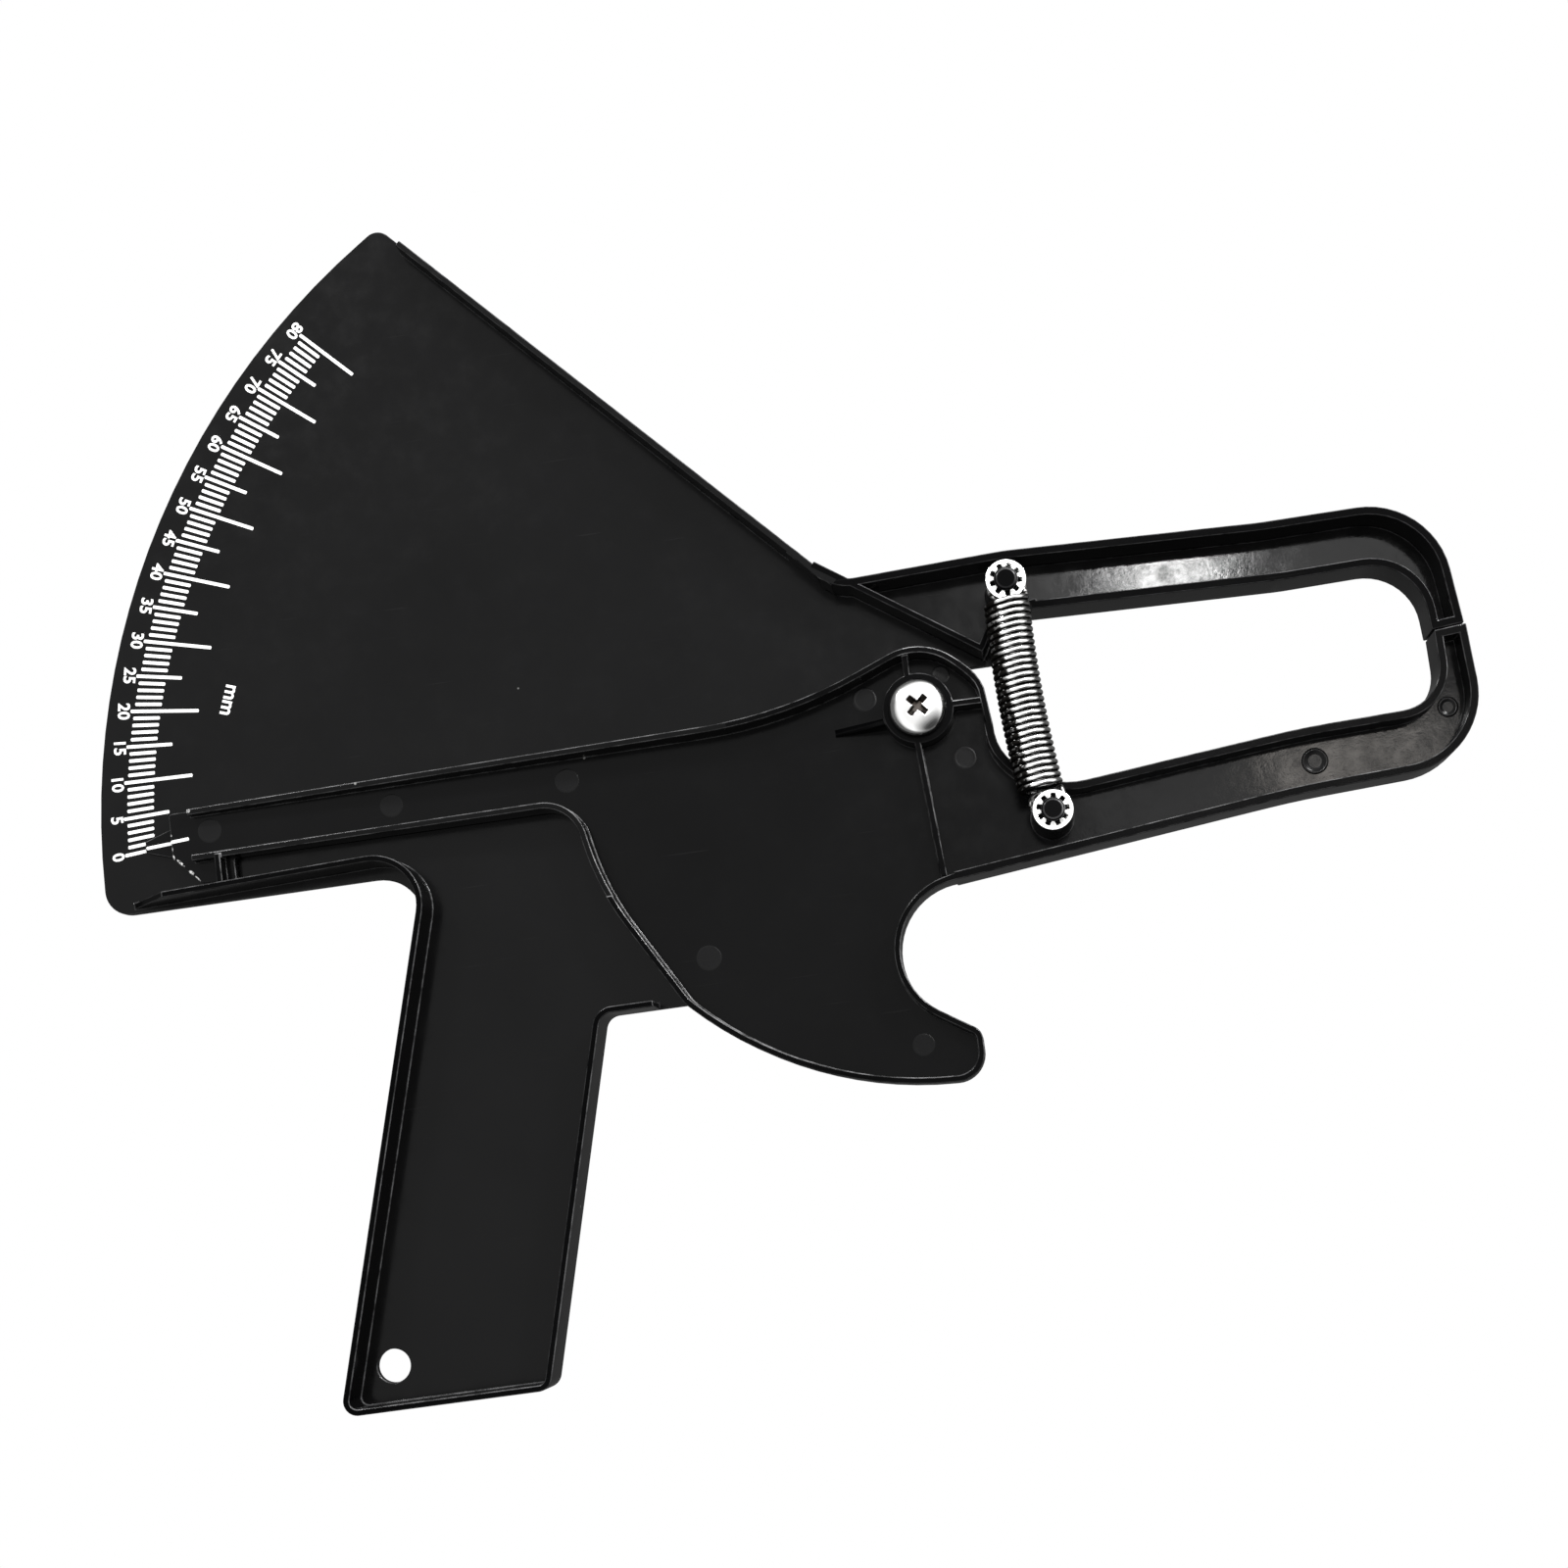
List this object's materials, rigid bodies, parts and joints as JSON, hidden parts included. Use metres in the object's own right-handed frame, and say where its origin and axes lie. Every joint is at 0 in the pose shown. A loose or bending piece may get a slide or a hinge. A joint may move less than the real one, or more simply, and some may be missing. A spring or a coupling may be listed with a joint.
{
  "type": "skinfold caliper",
  "caption": "Pistol-grip caliper with a fan-shaped scale plate, a spring-loaded lever with pointer and trigger, and two curved jaws that pinch a fold of skin.",
  "frame": {"origin": "on the pivot axis, in the flat back face of the frame", "axes": "+X along the jaws towards their tips, +Y up towards the fixed jaw, +Z out of the front towards the user"},
  "size_m": [0.2914, 0.2512, 0.0208],
  "materials": {
    "black_plastic": "satin black moulded plastic",
    "lever_plastic": "satin black moulded plastic",
    "plated_steel": "bright nickel-plated steel",
    "spring_steel": "bright drawn spring wire"
  },
  "bodies": {
    "frame": {"frame": "black_plastic", "pivot_screw": "plated_steel", "pivot_nut": "plated_steel"},
    "lever": {"lever": "lever_plastic", "lower_retainer": "plated_steel"},
    "spring_anchor": {"upper_retainer": "plated_steel"},
    "spring": {"spring": "spring_steel"}
  },
  "joints": [
    {"name": "jaw_pivot", "type": "hinge", "parent": "frame", "child": "lever", "pos_m": [0, 0, 0], "axis": [0, 0, -1], "range_deg": [0, 45], "stiffness_Nm_per_rad": 0.25, "springref_deg": -148.97},
    {"name": "spring_swing", "type": "hinge", "parent": "frame", "child": "spring_anchor", "pos_m": [0.02158, 0.02249, 0], "axis": [0, 0, -1], "range_deg": [-1, 26]},
    {"name": "spring_stretch", "type": "slide", "parent": "spring_anchor", "child": "spring", "axis": [0.0598, -0.9982, 0], "range_m": [0, 0.015], "deforming": ["spring"]}
  ],
  "couplings": [
    {"joint": "spring_swing", "follows": "jaw_pivot", "ratio": 0.5492},
    {"joint": "spring_stretch", "follows": "jaw_pivot", "m_per_rad": 0.01765}
  ]
}
